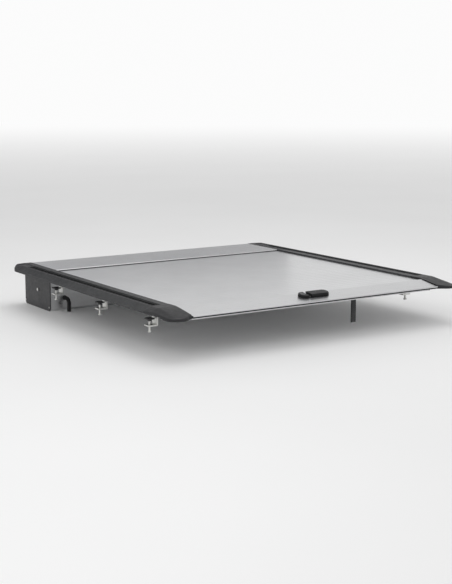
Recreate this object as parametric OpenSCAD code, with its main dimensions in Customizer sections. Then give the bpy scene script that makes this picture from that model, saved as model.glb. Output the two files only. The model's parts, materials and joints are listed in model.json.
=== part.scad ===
// Roll-up tonneau cover: interlocking slats run between two side rails into a canister at the cab end.
// Origin: front face of the canister, mid-width, in the plane the rails sit on.
// +X right seen from behind, +Y towards the cab, +Z up. Millimetres.

/* [Rails] */
// Clear width between the two side rails
rail_span = 1372; // [1250:2:1500]
// Width of one side rail
rail_w = 127; // [124:1:136]
// Height of the rail above the bed
rail_h = 27; // [27:0.5:30]

/* [Curtain] */
// Length of one slat along the bed
slat_pitch = 40; // [36:1:42]
// Thickness of a slat
slat_t = 11.5; // [11:0.5:12]
// Slats in each of the five sections of curtain
slats_per_section = 6; // [3:1:6]
// Gap left in each joint between two slats
joint_gap = 0.6; // [0.4:0.1:1]

/* [Canister] */
// Length of the canister along the bed
canister_l = 302; // [296:1:340]
// Depth of the canister below the rails
canister_d = 185; // [182:1:230]
// Sheet thickness of the tray
tray_t = 2; // [1.5:0.5:2.5]

/* [End bar] */
// Length of the end bar along the bed
end_bar_l = 125; // [122:1:130]
// Depth of the end bar's box below the rails
bar_d = 24; // [23:1:26]
// Height of the ridge at the end bar's front edge
ridge_z = 22.5; // [22:0.5:23]

/* [Handle] */
// Length of the handle across the bed
handle_l = 162; // [158:1:168]
// Width of the handle along the slope
handle_w = 57; // [56:0.5:58]

/* [Hidden] */
$fn = 48;
SECTIONS = 5;
play = 0.05;
x_in = rail_span / 2;

// Lengthwise stations
mouth_y = -canister_l;
section_l = slats_per_section * slat_pitch;
bar_y = mouth_y - SECTIONS * section_l;
lip_y = bar_y - end_bar_l;
nose_front_y = bar_y + 75;
nose_y = lip_y - 24;
cap_l = 130;

// Rail's outer slope: where it begins, from the inner edge, and the height where it ends
slope_x = 86;
edge_z = 8;

// Groove under the rail for its foam seal, from the rail's inner edge
seal_x0 = 46;
seal_x1 = 58;

// Heights in the track
track_z0 = 5;
track_z1 = 22;
liner_t = 1.5;
run_z0 = track_z0 + liner_t;
run_z1 = track_z1 - liner_t;
track_w = 30;
slat_z1 = 19;
slat_z0 = slat_z1 - slat_t;
knuckle_z = slat_z0 + slat_t / 2;
slat_x = x_in + 14;
glide_x = x_in + 26;

// Spool
spool_y = -160;
spool_z = -90;
spool_r = 32;
axle_r = 8;
end_x = x_in + track_w;
end_t = 5;

// Slope of the end bar's top
slope_y0 = lip_y + 10;
slope_z0 = 4.5;
slope_y1 = bar_y - 7;
ridge_r = 6;
slope = atan((ridge_z - slope_z0) / (slope_y1 - slope_y0));
bar_x = x_in - 4;

// Handle and latch
handle_y = bar_y - 48;
handle_z = slope_z0 + (handle_y - slope_y0) * tan(slope);
pivot_y = 19;
pivot_z = 8;
pin_r = 2.5;
lever_x0 = -28;
lever_x1 = handle_l / 2 - 1;
crank_y = bar_y - 34.5;
crank_r = 18;
crank_z = -5.5;
rod_z = -10;
rod_r = 4;
bolt_r = 5;
bolt_tip_x = x_in + 1.5;
guide_x = x_in - 90;
collar_x = guide_x + 44;
spring_wire_r = 0.9;
lock_x = -60;

// Fixings
screw_r = 2;
nose_screw_x = 15;
nose_screw_ys = [nose_front_y - 20, bar_y - 50];
screw_head_r = 4;
bracket_screw_z = -15;
bracket_screw_gap = 12;
clamp_bolt_r = 5;
clamp_ys = [for (k = [0:2]) mouth_y - 98 - k * (SECTIONS * section_l - 260) / 2];
clamp_x = x_in + 45;
jaw_z = -44;
flange_x = x_in + 20;
port_r = 2.5;
screw_ports = [
    [mouth_y + 9, -10], [mouth_y + 9, 20 - canister_d],
    [-9, -10], [-9, 20 - canister_d]
];
hanger_x = x_in + 39.6;
hanger_ys = [-230, -155];
lid_screw_xs = [for (k = [-2:2]) k * (x_in - 60) / 2];
spout_x = x_in - 46;
spout_z = -120;
hose_bend = 24;

// ---- Helpers ----

// A profile drawn in X and Z, run along Y from y0 to y1
module along_y(y0, y1) {
    translate([0, y1, 0]) rotate([90, 0, 0]) linear_extrude(y1 - y0) children();
}

// A profile drawn in Y and Z, run along X from x0 to x1
module along_x(x0, x1) {
    translate([x0, 0, 0]) rotate([90, 0, 90]) linear_extrude(x1 - x0) children();
}

module box(a, b) {
    translate(a) cube([b[0] - a[0], b[1] - a[1], b[2] - a[2]]);
}

module rect(a, b) {
    translate(a) square([b[0] - a[0], b[1] - a[1]]);
}

module rod_x(x0, x1, r, y, z) {
    translate([x0, y, z]) rotate([0, 90, 0]) cylinder(r = r, h = x1 - x0);
}

module both_sides() {
    children();
    mirror([1, 0, 0]) children();
}

module left_side() {
    mirror([1, 0, 0]) children();
}

function arc(c, r, a0, a1, n) =
    [for (k = [0:n]) c + r * [cos(a0 + (a1 - a0) * k / n), sin(a0 + (a1 - a0) * k / n)]];

// Places a piece drawn on the end bar's slope, with its own origin at the handle's middle
module on_slope() {
    translate([0, handle_y, handle_z]) rotate([slope, 0, 0]) children();
}

// ---- Side rails ----

// Outside of the rail, drawn from its inner edge
module rail_outline() {
    polygon([[0, 0], [0, rail_h], [slope_x, rail_h], [rail_w, edge_z], [rail_w, 0]]);
}

module rail_profile() {
    top = rail_h - 4.5;
    floor_z = 4.5;
    ridge_count = 7;
    difference() {
        rail_outline();
        rect([-1, track_z0], [track_w, track_z1]);
        rect([33, floor_z], [45, top]);
        rect([48, floor_z], [72, 10]);
        rect([48, 13], [72, top]);
        rect([53, top - 1], [67, rail_h + 1]);
        rect([38, rail_h - 1.5], [82, rail_h + 1]);
        polygon([[75, floor_z], [75, top], [85, top], [rail_w - 5, 6], [rail_w - 5, floor_z]]);
        rect([seal_x0, -1], [seal_x1, 2]);
        for (k = [1:ridge_count]) let (t = k / (ridge_count + 1))
            translate([slope_x + t * (rail_w - slope_x), rail_h - t * (rail_h - edge_z)])
                circle(r = 0.8, $fn = 24);
    }
}

module side_rail() {
    difference() {
        translate([x_in, 0, 0]) {
            along_y(nose_front_y, -cap_l) rail_profile();
            along_y(nose_front_y, mouth_y - 8) rect([20, -28], [23.5, 1]);
        }
        box([x_in - 1, mouth_y + 12, -1], [x_in + track_w, 0, track_z0 + 1]);
        for (y = hanger_ys) translate([hanger_x, y, -1]) cylinder(r = port_r + play, h = 7);
        for (y = clamp_ys) for (s = [-1, 1])
            rod_x(x_in + 18, x_in + 26, screw_r + play, y + s * bracket_screw_gap, bracket_screw_z);
    }
}

module side_rail_right() {
    color("dimgray") side_rail();
}

module side_rail_left() {
    color("dimgray") left_side() side_rail();
}

module track_liner() {
    gap = 0.02;
    translate([x_in, 0, 0]) along_y(nose_front_y + gap, mouth_y) difference() {
        rect([0.5, track_z0 + gap], [track_w - gap, track_z1 - gap]);
        rect([0, run_z0], [track_w - liner_t, run_z1]);
    }
}

module track_liner_right() {
    color("black") track_liner();
}

module track_liner_left() {
    color("black") left_side() track_liner();
}

module rail_seals() {
    color("black") both_sides() translate([x_in, 0, 0]) along_y(nose_front_y + 1, -cap_l - 1)
        rect([seal_x0 + 0.5, 0.2], [seal_x1 - 0.5, 1.95]);
}

// ---- Rear noses ----

// Height of the nose's back, from its level stretch (t = 0) down to the rear edge (t = 1)
function nose_top(t) = 28 - 24 * pow(t, 1.1);

module nose_side_view() {
    fall_y = bar_y + 12;
    steps = 14;
    polygon(concat(
        [[nose_front_y + 0.02, 0], [nose_front_y + 0.02, rail_h], [nose_front_y - 4, 28]],
        [for (k = [0:steps]) [fall_y + (nose_y - fall_y) * k / steps, nose_top(k / steps)]],
        [[nose_y, -8], [nose_y + 8, -8], [nose_y + 8, 0]]
    ));
}

module nose_plan_view() {
    corner_r = 55;
    corner = [62, nose_y + corner_r];
    polygon(concat(
        [[0, nose_front_y], [0, nose_y + 29]],
        arc(corner, corner_r, 225, 360, 12),
        [[rail_w - 2, nose_front_y - 60], [rail_w, nose_front_y]]
    ));
}

module nose_cross_view() {
    polygon([[0, -9], [0, 29], [slope_x + 2, 29], [rail_w, edge_z], [rail_w, -9]]);
}

module rail_nose() {
    translate([x_in, 0, 0]) difference() {
        intersection() {
            along_x(0, rail_w) nose_side_view();
            along_y(nose_y - 1, nose_front_y) nose_cross_view();
            translate([0, 0, -10]) linear_extrude(50) nose_plan_view();
        }
        box([-1, bar_y - 20, run_z0], [track_w - liner_t, nose_front_y + 1, run_z1]);
        box([-1, bar_y - 62, run_z0], [track_w - liner_t, bar_y - 19, 14.5]);
        box([33, bar_y - 45, -1], [100, nose_front_y - 8, 17]);
        for (y = nose_screw_ys)
            translate([nose_screw_x, y, -1]) cylinder(r = screw_r + play, h = 7);
    }
}

module rail_nose_right() {
    color("black") rail_nose();
}

module rail_nose_left() {
    color("black") left_side() rail_nose();
}

// Screws that hold the strike plates up under the noses
module nose_screws() {
    color("silver") both_sides() for (y = nose_screw_ys) {
        translate([x_in + nose_screw_x, y, -3.1]) cylinder(r = screw_r, h = 8.5);
        translate([x_in + nose_screw_x, y, -6]) cylinder(r = screw_head_r, h = 2.9);
    }
}

// Plate under the nose with a hole that the latch bolt shoots into
module strike_plate(hole_y) {
    y0 = bar_y - 62;
    translate([x_in, 0, 0]) difference() {
        union() {
            box([2, y0, -3], [24, nose_front_y - 10, -0.05]);
            box([2, y0, 1 - bar_d], [5, bar_y - 4, -2.5]);
        }
        rod_x(1, 6, bolt_r + 0.6, hole_y, rod_z);
        for (y = nose_screw_ys)
            translate([nose_screw_x, y, -4]) cylinder(r = screw_r + play, h = 5);
    }
}

module strike_plates() {
    color("silver") {
        strike_plate(crank_y - crank_r);
        left_side() strike_plate(crank_y + crank_r);
    }
}

// ---- Front caps ----

module rail_front_cap() {
    bow = [rail_w - 40, cap_l - 30];
    steps = 10;
    translate([x_in, 0, 0]) difference() {
        intersection() {
            along_y(-cap_l + 0.02, 0) rail_outline();
            translate([0, 0, -1]) linear_extrude(40) polygon(concat(
                [[0, -cap_l], [0, -0.5]],
                [for (k = [0:steps]) let (a = 90 * k / steps)
                    [40 + bow[0] * sin(a), -0.5 - bow[1] * (1 - cos(a))]],
                [[rail_w, -cap_l]]
            ));
        }
        box([-1, -cap_l - 1, -1], [track_w, -12, track_z1]);
        box([38, -cap_l - 1, rail_h - 1.5], [82, -22, rail_h + 1]);
        box([36, -cap_l - 1, -1], [84, -40, rail_h - 6]);
    }
}

module rail_front_cap_right() {
    color("black") rail_front_cap();
}

module rail_front_cap_left() {
    color("black") left_side() rail_front_cap();
}

// ---- Bed clamps ----

module at_clamps() {
    both_sides() for (y = clamp_ys) translate([0, y, 0]) children();
}

module clamp_brackets() {
    color("silver") at_clamps() difference() {
        union() {
            box([x_in + 14, -20, -80], [flange_x - play, 20, -3]);
            box([x_in + 14, -20, -80], [clamp_x + 16, 20, -74]);
        }
        translate([clamp_x, 0, -81]) cylinder(r = clamp_bolt_r + play, h = 8);
        for (s = [-1, 1]) rod_x(x_in + 10, x_in + 26, screw_r + play, s * bracket_screw_gap, bracket_screw_z);
    }
}

module bracket_screws() {
    color("silver") at_clamps() for (s = [-1, 1]) {
        rod_x(x_in + 13.9, x_in + 24, screw_r, s * bracket_screw_gap, bracket_screw_z);
        rod_x(x_in + 11, x_in + 13.95, screw_head_r, s * bracket_screw_gap, bracket_screw_z);
    }
}

module clamp_jaws() {
    color("dimgray") at_clamps() difference() {
        union() {
            box([x_in + 28, -18, jaw_z - 6], [clamp_x + 17, 18, jaw_z]);
            translate([clamp_x, 0, jaw_z - 14]) cylinder(r = 9, h = 9);
        }
        translate([clamp_x, 0, jaw_z - 15]) cylinder(r = clamp_bolt_r + play, h = 12);
    }
}

module clamp_bolts() {
    color("silver") at_clamps() {
        translate([clamp_x, 0, -101]) cylinder(r = clamp_bolt_r, h = 101 + jaw_z - 4);
        translate([clamp_x, 0, -107]) cylinder(r = 9, h = 6.5, $fn = 6);
    }
}

// ---- Canister ----

// Folded tray with screw ports in its corners, seen from the side
module tray_profile() {
    b = -canister_d;
    fold = 12;
    t = tray_t;
    difference() {
        union() {
            difference() {
                polygon([
                    [mouth_y, 4], [mouth_y, b + fold], [mouth_y + fold, b], [-fold, b],
                    [0, b + fold], [0, 18], [mouth_y + 10, 18], [mouth_y + 10, 4]
                ]);
                polygon([
                    [mouth_y + t, 30], [mouth_y + t, b + fold + t / 2], [mouth_y + fold + t / 2, b + t],
                    [-fold - t / 2, b + t], [-t, b + fold + t / 2], [-t, 30]
                ]);
            }
            rect([-30, 18 - t], [-t / 2, 18]);
            for (p = screw_ports) translate(p) circle(r = 7.2);
        }
        for (p = screw_ports) translate(p) circle(r = port_r + play);
    }
}

module canister_tray() {
    under = -1;
    color("silver") difference() {
        along_x(-end_x, end_x) tray_profile();
        both_sides() box([x_in - 2, mouth_y - 1, under], [end_x + 1, 1, 30]);
        for (x = lid_screw_xs) translate([x, -20, 10]) cylinder(r = port_r + play, h = 10);
        both_sides() translate([spout_x, mouth_y + 5, spout_z]) rotate([90, 0, 0])
            cylinder(r = 8 + play, h = 10);
    }
}

module canister_lid() {
    t = 2.5;
    lid_x = x_in - 1.5;
    round_r = 4;
    color("silver") difference() {
        union() {
            along_x(-lid_x, lid_x) {
                polygon(concat(
                    [[-6.5, rail_h - t], [-6.5, rail_h]],
                    arc([mouth_y + round_r, rail_h - round_r], round_r, 90, 180, 6),
                    [[mouth_y, 22.2], [mouth_y + 2.5, 22.2], [mouth_y + 2.5, rail_h - t]]
                ));
                rect([-11, 18.05], [-8, rail_h - t + 0.5]);
                for (k = [1:5]) rect([mouth_y + k * 44, 21.5], [mouth_y + k * 44 + 2, rail_h - t + 0.5]);
            }
            for (x = lid_screw_xs) translate([x, -20, 18.05]) cylinder(r = 5.5, h = rail_h - 19);
        }
        for (x = lid_screw_xs) translate([x, -20, 17]) cylinder(r = port_r + play, h = rail_h - 20.5);
    }
}

module lid_screws() {
    color("silver") for (x = lid_screw_xs) {
        translate([x, -20, 15]) cylinder(r = port_r, h = 8);
        translate([x, -20, 12.5]) cylinder(r = 4.5, h = 2.5 + 1 - play);
    }
}

module end_plate() {
    b = -canister_d;
    fold = 12;
    difference() {
        union() {
            along_x(end_x, end_x + end_t) polygon([
                [mouth_y, -1], [mouth_y, b + fold], [mouth_y + fold, b], [-fold, b], [0, b + fold], [0, -1]
            ]);
            box([end_x, -250, -5], [end_x + 14, -135, -1]);
        }
        rod_x(end_x - 1, end_x + end_t + 1, axle_r + play, spool_y, spool_z);
        for (p = screw_ports) rod_x(end_x - 1, end_x + end_t + 1, port_r + play, p[0], p[1]);
        for (y = hanger_ys) translate([hanger_x, y, -6]) cylinder(r = port_r + play, h = 7);
    }
}

module end_plate_right() {
    color("dimgray") end_plate();
}

module end_plate_left() {
    color("dimgray") left_side() end_plate();
}

module end_plate_screws() {
    color("silver") both_sides() {
        for (p = screw_ports) {
            rod_x(end_x - 18, end_x + end_t + 0.5, port_r, p[0], p[1]);
            rod_x(end_x + end_t + play, end_x + end_t + 3, 4.5, p[0], p[1]);
        }
        for (y = hanger_ys) {
            translate([hanger_x, y, -5.5]) cylinder(r = port_r, h = 11);
            translate([hanger_x, y, -8]) cylinder(r = 4, h = 3 - play);
        }
    }
}

module mouth_seal() {
    lid_x = x_in - 1.5;
    color("black") along_x(-lid_x, lid_x) rect([mouth_y + 0.2, slat_z1 + 0.3], [mouth_y + 6, 22.15]);
}

module bulkhead_seal() {
    color("black") along_x(2 - x_in, x_in - 2) {
        rect([-6, 18.05], [-0.6, rail_h - 4]);
        translate([-3.3, rail_h - 4]) circle(r = 2.7);
    }
}

module drain_spouts() {
    color("black") both_sides() translate([spout_x, mouth_y, spout_z]) rotate([90, 0, 0]) difference() {
        union() {
            translate([0, 0, -4]) cylinder(r = 8, h = 28);
            translate([0, 0, play]) cylinder(r = 12, h = 2.5);
        }
        translate([0, 0, -5]) cylinder(r = 6, h = 30);
    }
}

// Hose pushed over the spout, turned down to a free end
module drain_hose() {
    ro = 10;
    ri = 8 + play;
    start_y = mouth_y - 4;
    bend_y = start_y - 22;
    drop = canister_d + spout_z - hose_bend - 2;
    translate([spout_x, 0, 0]) difference() {
        union() {
            translate([0, start_y, spout_z]) rotate([90, 0, 0]) cylinder(r = ro, h = 22);
            translate([0, bend_y, spout_z - hose_bend]) rotate([0, -90, 0])
                rotate([0, 0, -90]) rotate_extrude(angle = 90) translate([hose_bend, 0]) circle(r = ro);
            translate([0, bend_y - hose_bend, spout_z - hose_bend - drop]) cylinder(r = ro, h = drop);
        }
        translate([0, start_y + 1, spout_z]) rotate([90, 0, 0]) cylinder(r = ri, h = 23);
        translate([0, bend_y, spout_z - hose_bend]) rotate([0, -90, 0])
            rotate([0, 0, -90]) rotate_extrude(angle = 90) translate([hose_bend, 0]) circle(r = ri);
        translate([0, bend_y - hose_bend, spout_z - hose_bend - drop - 1]) cylinder(r = ri, h = drop + 1);
    }
}

module drain_hoses() {
    color("black") both_sides() drain_hose();
}

// ---- Spool ----

module spool_axle() {
    color("silver") rod_x(-end_x - 9, end_x + 9, axle_r, spool_y, spool_z);
}

module spool_tube() {
    color("silver") difference() {
        rod_x(-x_in, x_in, spool_r, spool_y, spool_z);
        rod_x(-x_in - 1, x_in + 1, spool_r - 3, spool_y, spool_z);
    }
}

module spool_hubs() {
    color("white") both_sides() difference() {
        union() {
            rod_x(x_in - 20, x_in + 1, spool_r - 3 - play, spool_y, spool_z);
            rod_x(x_in + play, x_in + 4, spool_r + 4, spool_y, spool_z);
        }
        rod_x(x_in - 21, x_in + 5, axle_r + play, spool_y, spool_z);
    }
}

module spring_drum() {
    color("silver") difference() {
        rod_x(x_in + 4 + play, end_x - 4, spool_r, spool_y, spool_z);
        rod_x(x_in + 6, end_x, spool_r - 2.5, spool_y, spool_z);
        rod_x(x_in, end_x, axle_r + play, spool_y, spool_z);
    }
}

// Flat spiral from the fixed axle out to the drum
module return_spring() {
    turns = 4;
    strip_t = 0.8;
    r0 = axle_r + 0.3;
    r1 = spool_r - 2.5 - strip_t - 0.3;
    n = turns * 24;
    function at(k, t) = let (r = r0 + (r1 - r0) * k / n + t, a = 360 * turns * k / n)
        [spool_y + r * cos(a), spool_z + r * sin(a)];
    color("silver") along_x(x_in + 7, end_x - 6) polygon(concat(
        [for (k = [0:n]) at(k, 0)],
        [for (k = [n:-1:0]) at(k, strip_t)]
    ));
}

// Webbing from the last slat to the top of the spool
module curtain_straps() {
    r0 = spool_r + 0.2;
    strap_t = 2;
    start = [mouth_y + 0.8, knuckle_z];
    to_spool = start - [spool_y, spool_z];
    reach = norm(to_spool);
    touch = atan2(to_spool[1], to_spool[0]) - acos((r0 + strap_t) / reach);
    color("black") for (x = [-1, 0, 1] * (x_in - 280)) along_x(x - 20, x + 20) polygon(concat(
        [start],
        arc([spool_y, spool_z], r0 + strap_t, touch, touch - 110, 10),
        arc([spool_y, spool_z], r0, touch - 110, touch, 10),
        [start - [0, strap_t]]
    ));
}

// ---- Curtain ----

// One slat seen from the side, its front edge at y = 0
module slat_profile() {
    z0 = slat_z0;
    z1 = slat_z1;
    edge = 0.9;
    back = joint_gap - slat_pitch;
    difference() {
        union() {
            polygon([
                [0, z0 + edge], [0, z1 - edge], [-edge, z1], [back + edge, z1],
                [back, z1 - edge], [back, z0 + edge], [back + edge, z0], [-edge, z0]
            ]);
            rect([back - 3.2, knuckle_z - 0.7], [back + 1, knuckle_z + 0.7]);
            translate([back - 3.4, knuckle_z]) circle(r = 1.9, $fn = 24);
        }
        knuckle_socket();
        for (k = [0, 1]) rect(
            [back + 1.6 + k * (slat_pitch - 8) / 2, z0 + 1.6],
            [back + k * (slat_pitch - 8) / 2 + (slat_pitch - 8) / 2, z1 - 1.6]
        );
    }
}

// Groove that takes the round edge of the slat in front
module knuckle_socket() {
    translate([-2.8, knuckle_z]) circle(r = 2.3, $fn = 24);
    rect([-2.8, knuckle_z - 1.1], [1, knuckle_z + 1.1]);
}

// Front edge of each slat in section n, counted from the end bar
function slat_fronts(n) = [for (k = [1:slats_per_section]) bar_y + (n - 1) * section_l + k * slat_pitch];

module slats(n) {
    color("silver") for (y = slat_fronts(n)) translate([0, y, 0]) along_x(-slat_x, slat_x) slat_profile();
}

module glides(n) {
    plug_w = (slat_pitch - 8) / 2 - 1.8;
    color("dimgray") both_sides() for (y = slat_fronts(n)) translate([0, y, 0]) {
        box([slat_x + play, 1 - slat_pitch, run_z0 + 0.5], [glide_x, -0.8, run_z1 - 0.5]);
        translate([0, joint_gap - slat_pitch + 1.7, slat_z0 + 1.7])
            box([slat_x - 8, 0, 0], [slat_x + 1, plug_w, slat_t - 3.4]);
    }
}

module slats_1() slats(1);
module slats_2() slats(2);
module slats_3() slats(3);
module slats_4() slats(4);
module slats_5() slats(5);
module glides_1() glides(1);
module glides_2() glides(2);
module glides_3() glides(3);
module glides_4() glides(4);
module glides_5() glides(5);

// ---- End bar ----

// Outside of the end bar, seen from the side
module bar_outline() {
    ridge = [slope_y1, ridge_z] + ridge_r * [sin(slope), -cos(slope)];
    polygon(concat(
        [[bar_y, -bar_d]],
        arc(ridge, ridge_r, 0, 90 + slope, 8),
        [[slope_y0, slope_z0]],
        arc([lip_y + 3, 2], 3, 100, 270, 8),
        [[bar_y - 64, -1], [bar_y - 64, -bar_d]]
    ));
}

module bar_profile() {
    t = 2.5;
    function under_slope(y) = slope_z0 - 2.8 + (y - slope_y0) * tan(slope);
    difference() {
        bar_outline();
        polygon([
            [bar_y - 61.5, t - bar_d], [bar_y - t, t - bar_d], [bar_y - t, 4], [bar_y - 8, 6],
            [bar_y - 8, under_slope(bar_y - 8)], [lip_y + 42, under_slope(lip_y + 42)],
            [lip_y + 42, 1.5], [bar_y - 61.5, 1.5]
        ]);
        translate([bar_y, 0]) knuckle_socket();
    }
}

handle_screw_spots = [[-35, 18], [-35, -18], [46, 8], [58, -16]];

module handle_screw_holes() {
    for (p = handle_screw_spots) translate([p[0], p[1], -8]) cylinder(r = screw_r + play, h = 12);
}

module end_bar() {
    color("silver") difference() {
        along_x(-bar_x, bar_x) bar_profile();
        on_slope() box([lock_x - 14, -14, -8], [lock_x + 14, 14, 4]);
        on_slope() box([-26, -18, -8], [30, 26, 4]);
        on_slope() handle_screw_holes();
    }
}

module end_bar_cap(bolt_y) {
    difference() {
        union() {
            along_x(bar_x + play, x_in - 0.5) bar_outline();
            box([x_in - 1, bar_y - 58, run_z0 + 0.5], [glide_x, bar_y - 5.5, 14]);
        }
        rod_x(bar_x - 1, x_in + 1, bolt_r + play, bolt_y, rod_z);
        translate([bar_x - 1, 0, 0]) along_x(0, 8) translate([bar_y, 0]) knuckle_socket();
    }
}

module end_bar_cap_right() {
    color("black") end_bar_cap(crank_y - crank_r);
}

module end_bar_cap_left() {
    color("black") left_side() end_bar_cap(crank_y + crank_r);
}

module tailgate_seal() {
    color("black") along_x(-bar_x, bar_x) difference() {
        translate([lip_y + 8, -4.5]) {
            rect([-5.5, 1.2], [9, 3.4]);
            circle(r = 3.2, $fn = 32);
        }
        translate([lip_y + 8, -4.5]) circle(r = 1.9, $fn = 32);
    }
}

module pull_strap() {
    strap_x = 250;
    color("black") translate([strap_x, bar_y - 30, 0]) {
        box([-12.5, 0, -140], [12.5, 2, -bar_d - play]);
        box([-12.5, 2, -140], [12.5, 6, -138]);
        box([-12.5, 6, -140], [12.5, 8, -bar_d - play]);
    }
}

// ---- Handle and lock ----

module handle_plan() {
    r = handle_w / 2;
    square([handle_l - handle_w, handle_w], center = true);
    for (s = [-1, 1]) translate([s * (handle_l / 2 - r), 0]) circle(r = r);
}

module handle_base() {
    ear_xs = [-22, 58];
    lobe_x = -41;
    color("black") difference() {
        union() {
            on_slope() linear_extrude(3) handle_plan();
            on_slope() linear_extrude(13) intersection() {
                handle_plan();
                rect([-handle_l, -handle_w], [lobe_x, handle_w]);
            }
            on_slope() for (x = ear_xs) {
                box([x, pivot_y - 4.5, 2], [x + 6, pivot_y + 1, pivot_z]);
                rod_x(x, x + 6, 4.5, pivot_y, pivot_z);
            }
            translate([0, crank_y, 4]) cylinder(r = 8, h = 16);
        }
        on_slope() rod_x(lever_x0, lever_x1, pin_r + play, pivot_y, pivot_z);
        on_slope() box([10, pivot_y - 17, -1], [24, pivot_y + 6, 4]);
        on_slope() translate([lock_x, 0, -1]) cylinder(r = 11, h = 20);
        on_slope() handle_screw_holes();
        translate([0, crank_y, 3]) cylinder(r = rod_r + play, h = 12);
    }
}

module handle_screws() {
    color("silver") on_slope() for (p = handle_screw_spots) translate([p[0], p[1], -6]) {
        cylinder(r = screw_r, h = 10);
        translate([0, 0, 9 + play]) cylinder(r = 3.8, h = 2);
    }
}

// Lever seen from its end, drawn about its pivot
module lever_side() {
    polygon(concat(
        [[-46, -4], [-46, 1], [-43, 5], [-37, 8]],
        arc([0, 0], 8, 90, 15, 8),
        [[4.2, -1.8], [1.6, -3.9]]
    ));
}

module lever_hollow() {
    polygon(concat(
        [[-43, -5], [-43, 1], [-37, 5.2]],
        arc([0, 0], 5.2, 90, 15, 6),
        [[3.6, -5]]
    ));
}

module handle_lever() {
    wall = 3;
    color("black") on_slope() translate([0, pivot_y, pivot_z]) difference() {
        union() {
            difference() {
                intersection() {
                    along_x(lever_x0, lever_x1) lever_side();
                    translate([0, -pivot_y, -10]) linear_extrude(30) handle_plan();
                }
                along_x(lever_x0 + wall, lever_x1 - 12) lever_hollow();
            }
            rod_x(12, 22, 5, 0, 0);
            box([12, -1.7, -15.5], [22, 1.7, 6]);
        }
        rod_x(lever_x0 - 1, lever_x1 - 9, pin_r + play, 0, 0);
    }
}

module handle_pin() {
    color("silver") on_slope() rod_x(lever_x0 + 0.5, lever_x1 - 9.5, pin_r, pivot_y, pivot_z);
}

module lock_barrel() {
    color("silver") on_slope() translate([lock_x, 0, 0]) difference() {
        union() {
            translate([0, 0, -14]) cylinder(r = 11 - play, h = 27);
            translate([0, 0, 13 + play]) cylinder(r = 13, h = 1.2);
            translate([0, 0, 12]) cylinder(r = 11 - play, h = 2);
        }
        translate([0, 0, -15]) cylinder(r = 7 + play, h = 32);
    }
}

module lock_plug() {
    color("silver") on_slope() translate([lock_x, 0, 0]) difference() {
        union() {
            translate([0, 0, -14.5]) cylinder(r = 7, h = 28);
            translate([0, 0, -19]) cylinder(r = 3, h = 5);
        }
        translate([-0.8, -4, 8]) cube([1.6, 8, 6]);
    }
}

module lock_cam() {
    color("silver") on_slope() translate([lock_x, 0, -17.5]) difference() {
        union() {
            cylinder(r = 6, h = 2.5);
            box([-4, 0, 0], [4, 18, 2.5]);
        }
        translate([0, 0, -1]) cylinder(r = 3 + play, h = 5);
    }
}

// ---- Latch ----

module latch_crank() {
    push_r = 15;
    color("silver") translate([0, crank_y, 0]) {
        translate([0, 0, crank_z]) cylinder(r = 22, h = 3);
        translate([0, 0, crank_z + 1]) cylinder(r = rod_r, h = 19);
        translate([push_r, 0, crank_z + 1]) cylinder(r = 3, h = 18.5);
        for (s = [-1, 1]) translate([0, s * crank_r, crank_z - 8]) cylinder(r = pin_r, h = 9);
    }
}

// Rod with a slotted eye that the crank's pin draws along
module latch_rod() {
    translate([0, 0, rod_z]) {
        difference() {
            box([-7, -7, -3], [9, 12, 3]);
            box([-3.3, -3.5, -4], [3.3, 8.5, 4]);
        }
        rod_x(8, collar_x + 15, rod_r, 0, 0);
    }
}

module latch_rod_right() {
    color("silver") translate([0, crank_y - crank_r, 0]) latch_rod();
}

module latch_rod_left() {
    color("silver") translate([0, crank_y + crank_r, 0]) rotate([0, 0, 180]) latch_rod();
}

module latch_bolt(y) {
    difference() {
        union() {
            rod_x(collar_x, bolt_tip_x, bolt_r, y, rod_z);
            rod_x(collar_x, collar_x + 3, 8, y, rod_z);
        }
        rod_x(collar_x - 1, collar_x + 15.5, rod_r + play, y, rod_z);
    }
}

module latch_bolt_right() {
    color("silver") latch_bolt(crank_y - crank_r);
}

module latch_bolt_left() {
    color("silver") left_side() latch_bolt(crank_y + crank_r);
}

module rod_guide(y) {
    difference() {
        box([guide_x, y - 8.5, 2.6 - bar_d], [guide_x + 4, y + 8.5, 0]);
        rod_x(guide_x - 1, guide_x + 5, rod_r + play, y, rod_z);
    }
}

module rod_guides() {
    color("black") {
        rod_guide(crank_y - crank_r);
        left_side() rod_guide(crank_y + crank_r);
    }
}

// Coil between the rod guide and the bolt's collar
module coil(y) {
    turns = 6;
    around = 14;
    sides = 6;
    x0 = guide_x + 4 + spring_wire_r + 0.2;
    x1 = collar_x - spring_wire_r - 0.2;
    r = rod_r + 2.2;
    n = turns * around;
    function ring(k) = [for (j = [0:sides - 1])
        let (a = 360 * k / around, b = 360 * j / sides, q = r + spring_wire_r * cos(b))
            [x0 + (x1 - x0) * k / n + spring_wire_r * sin(b), y + q * cos(a), rod_z + q * sin(a)]];
    polyhedron(
        points = [for (k = [0:n]) each ring(k)],
        faces = concat(
            [[for (j = [0:sides - 1]) j]],
            [for (k = [0:n - 1]) for (j = [0:sides - 1]) let (a = k * sides, b = (j + 1) % sides)
                each [[a + j, a + sides + j, a + sides + b], [a + j, a + sides + b, a + b]]],
            [[for (j = [sides - 1:-1:0]) n * sides + j]]
        )
    );
}

module latch_springs() {
    color("silver") {
        coil(crank_y - crank_r);
        left_side() coil(crank_y + crank_r);
    }
}

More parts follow.
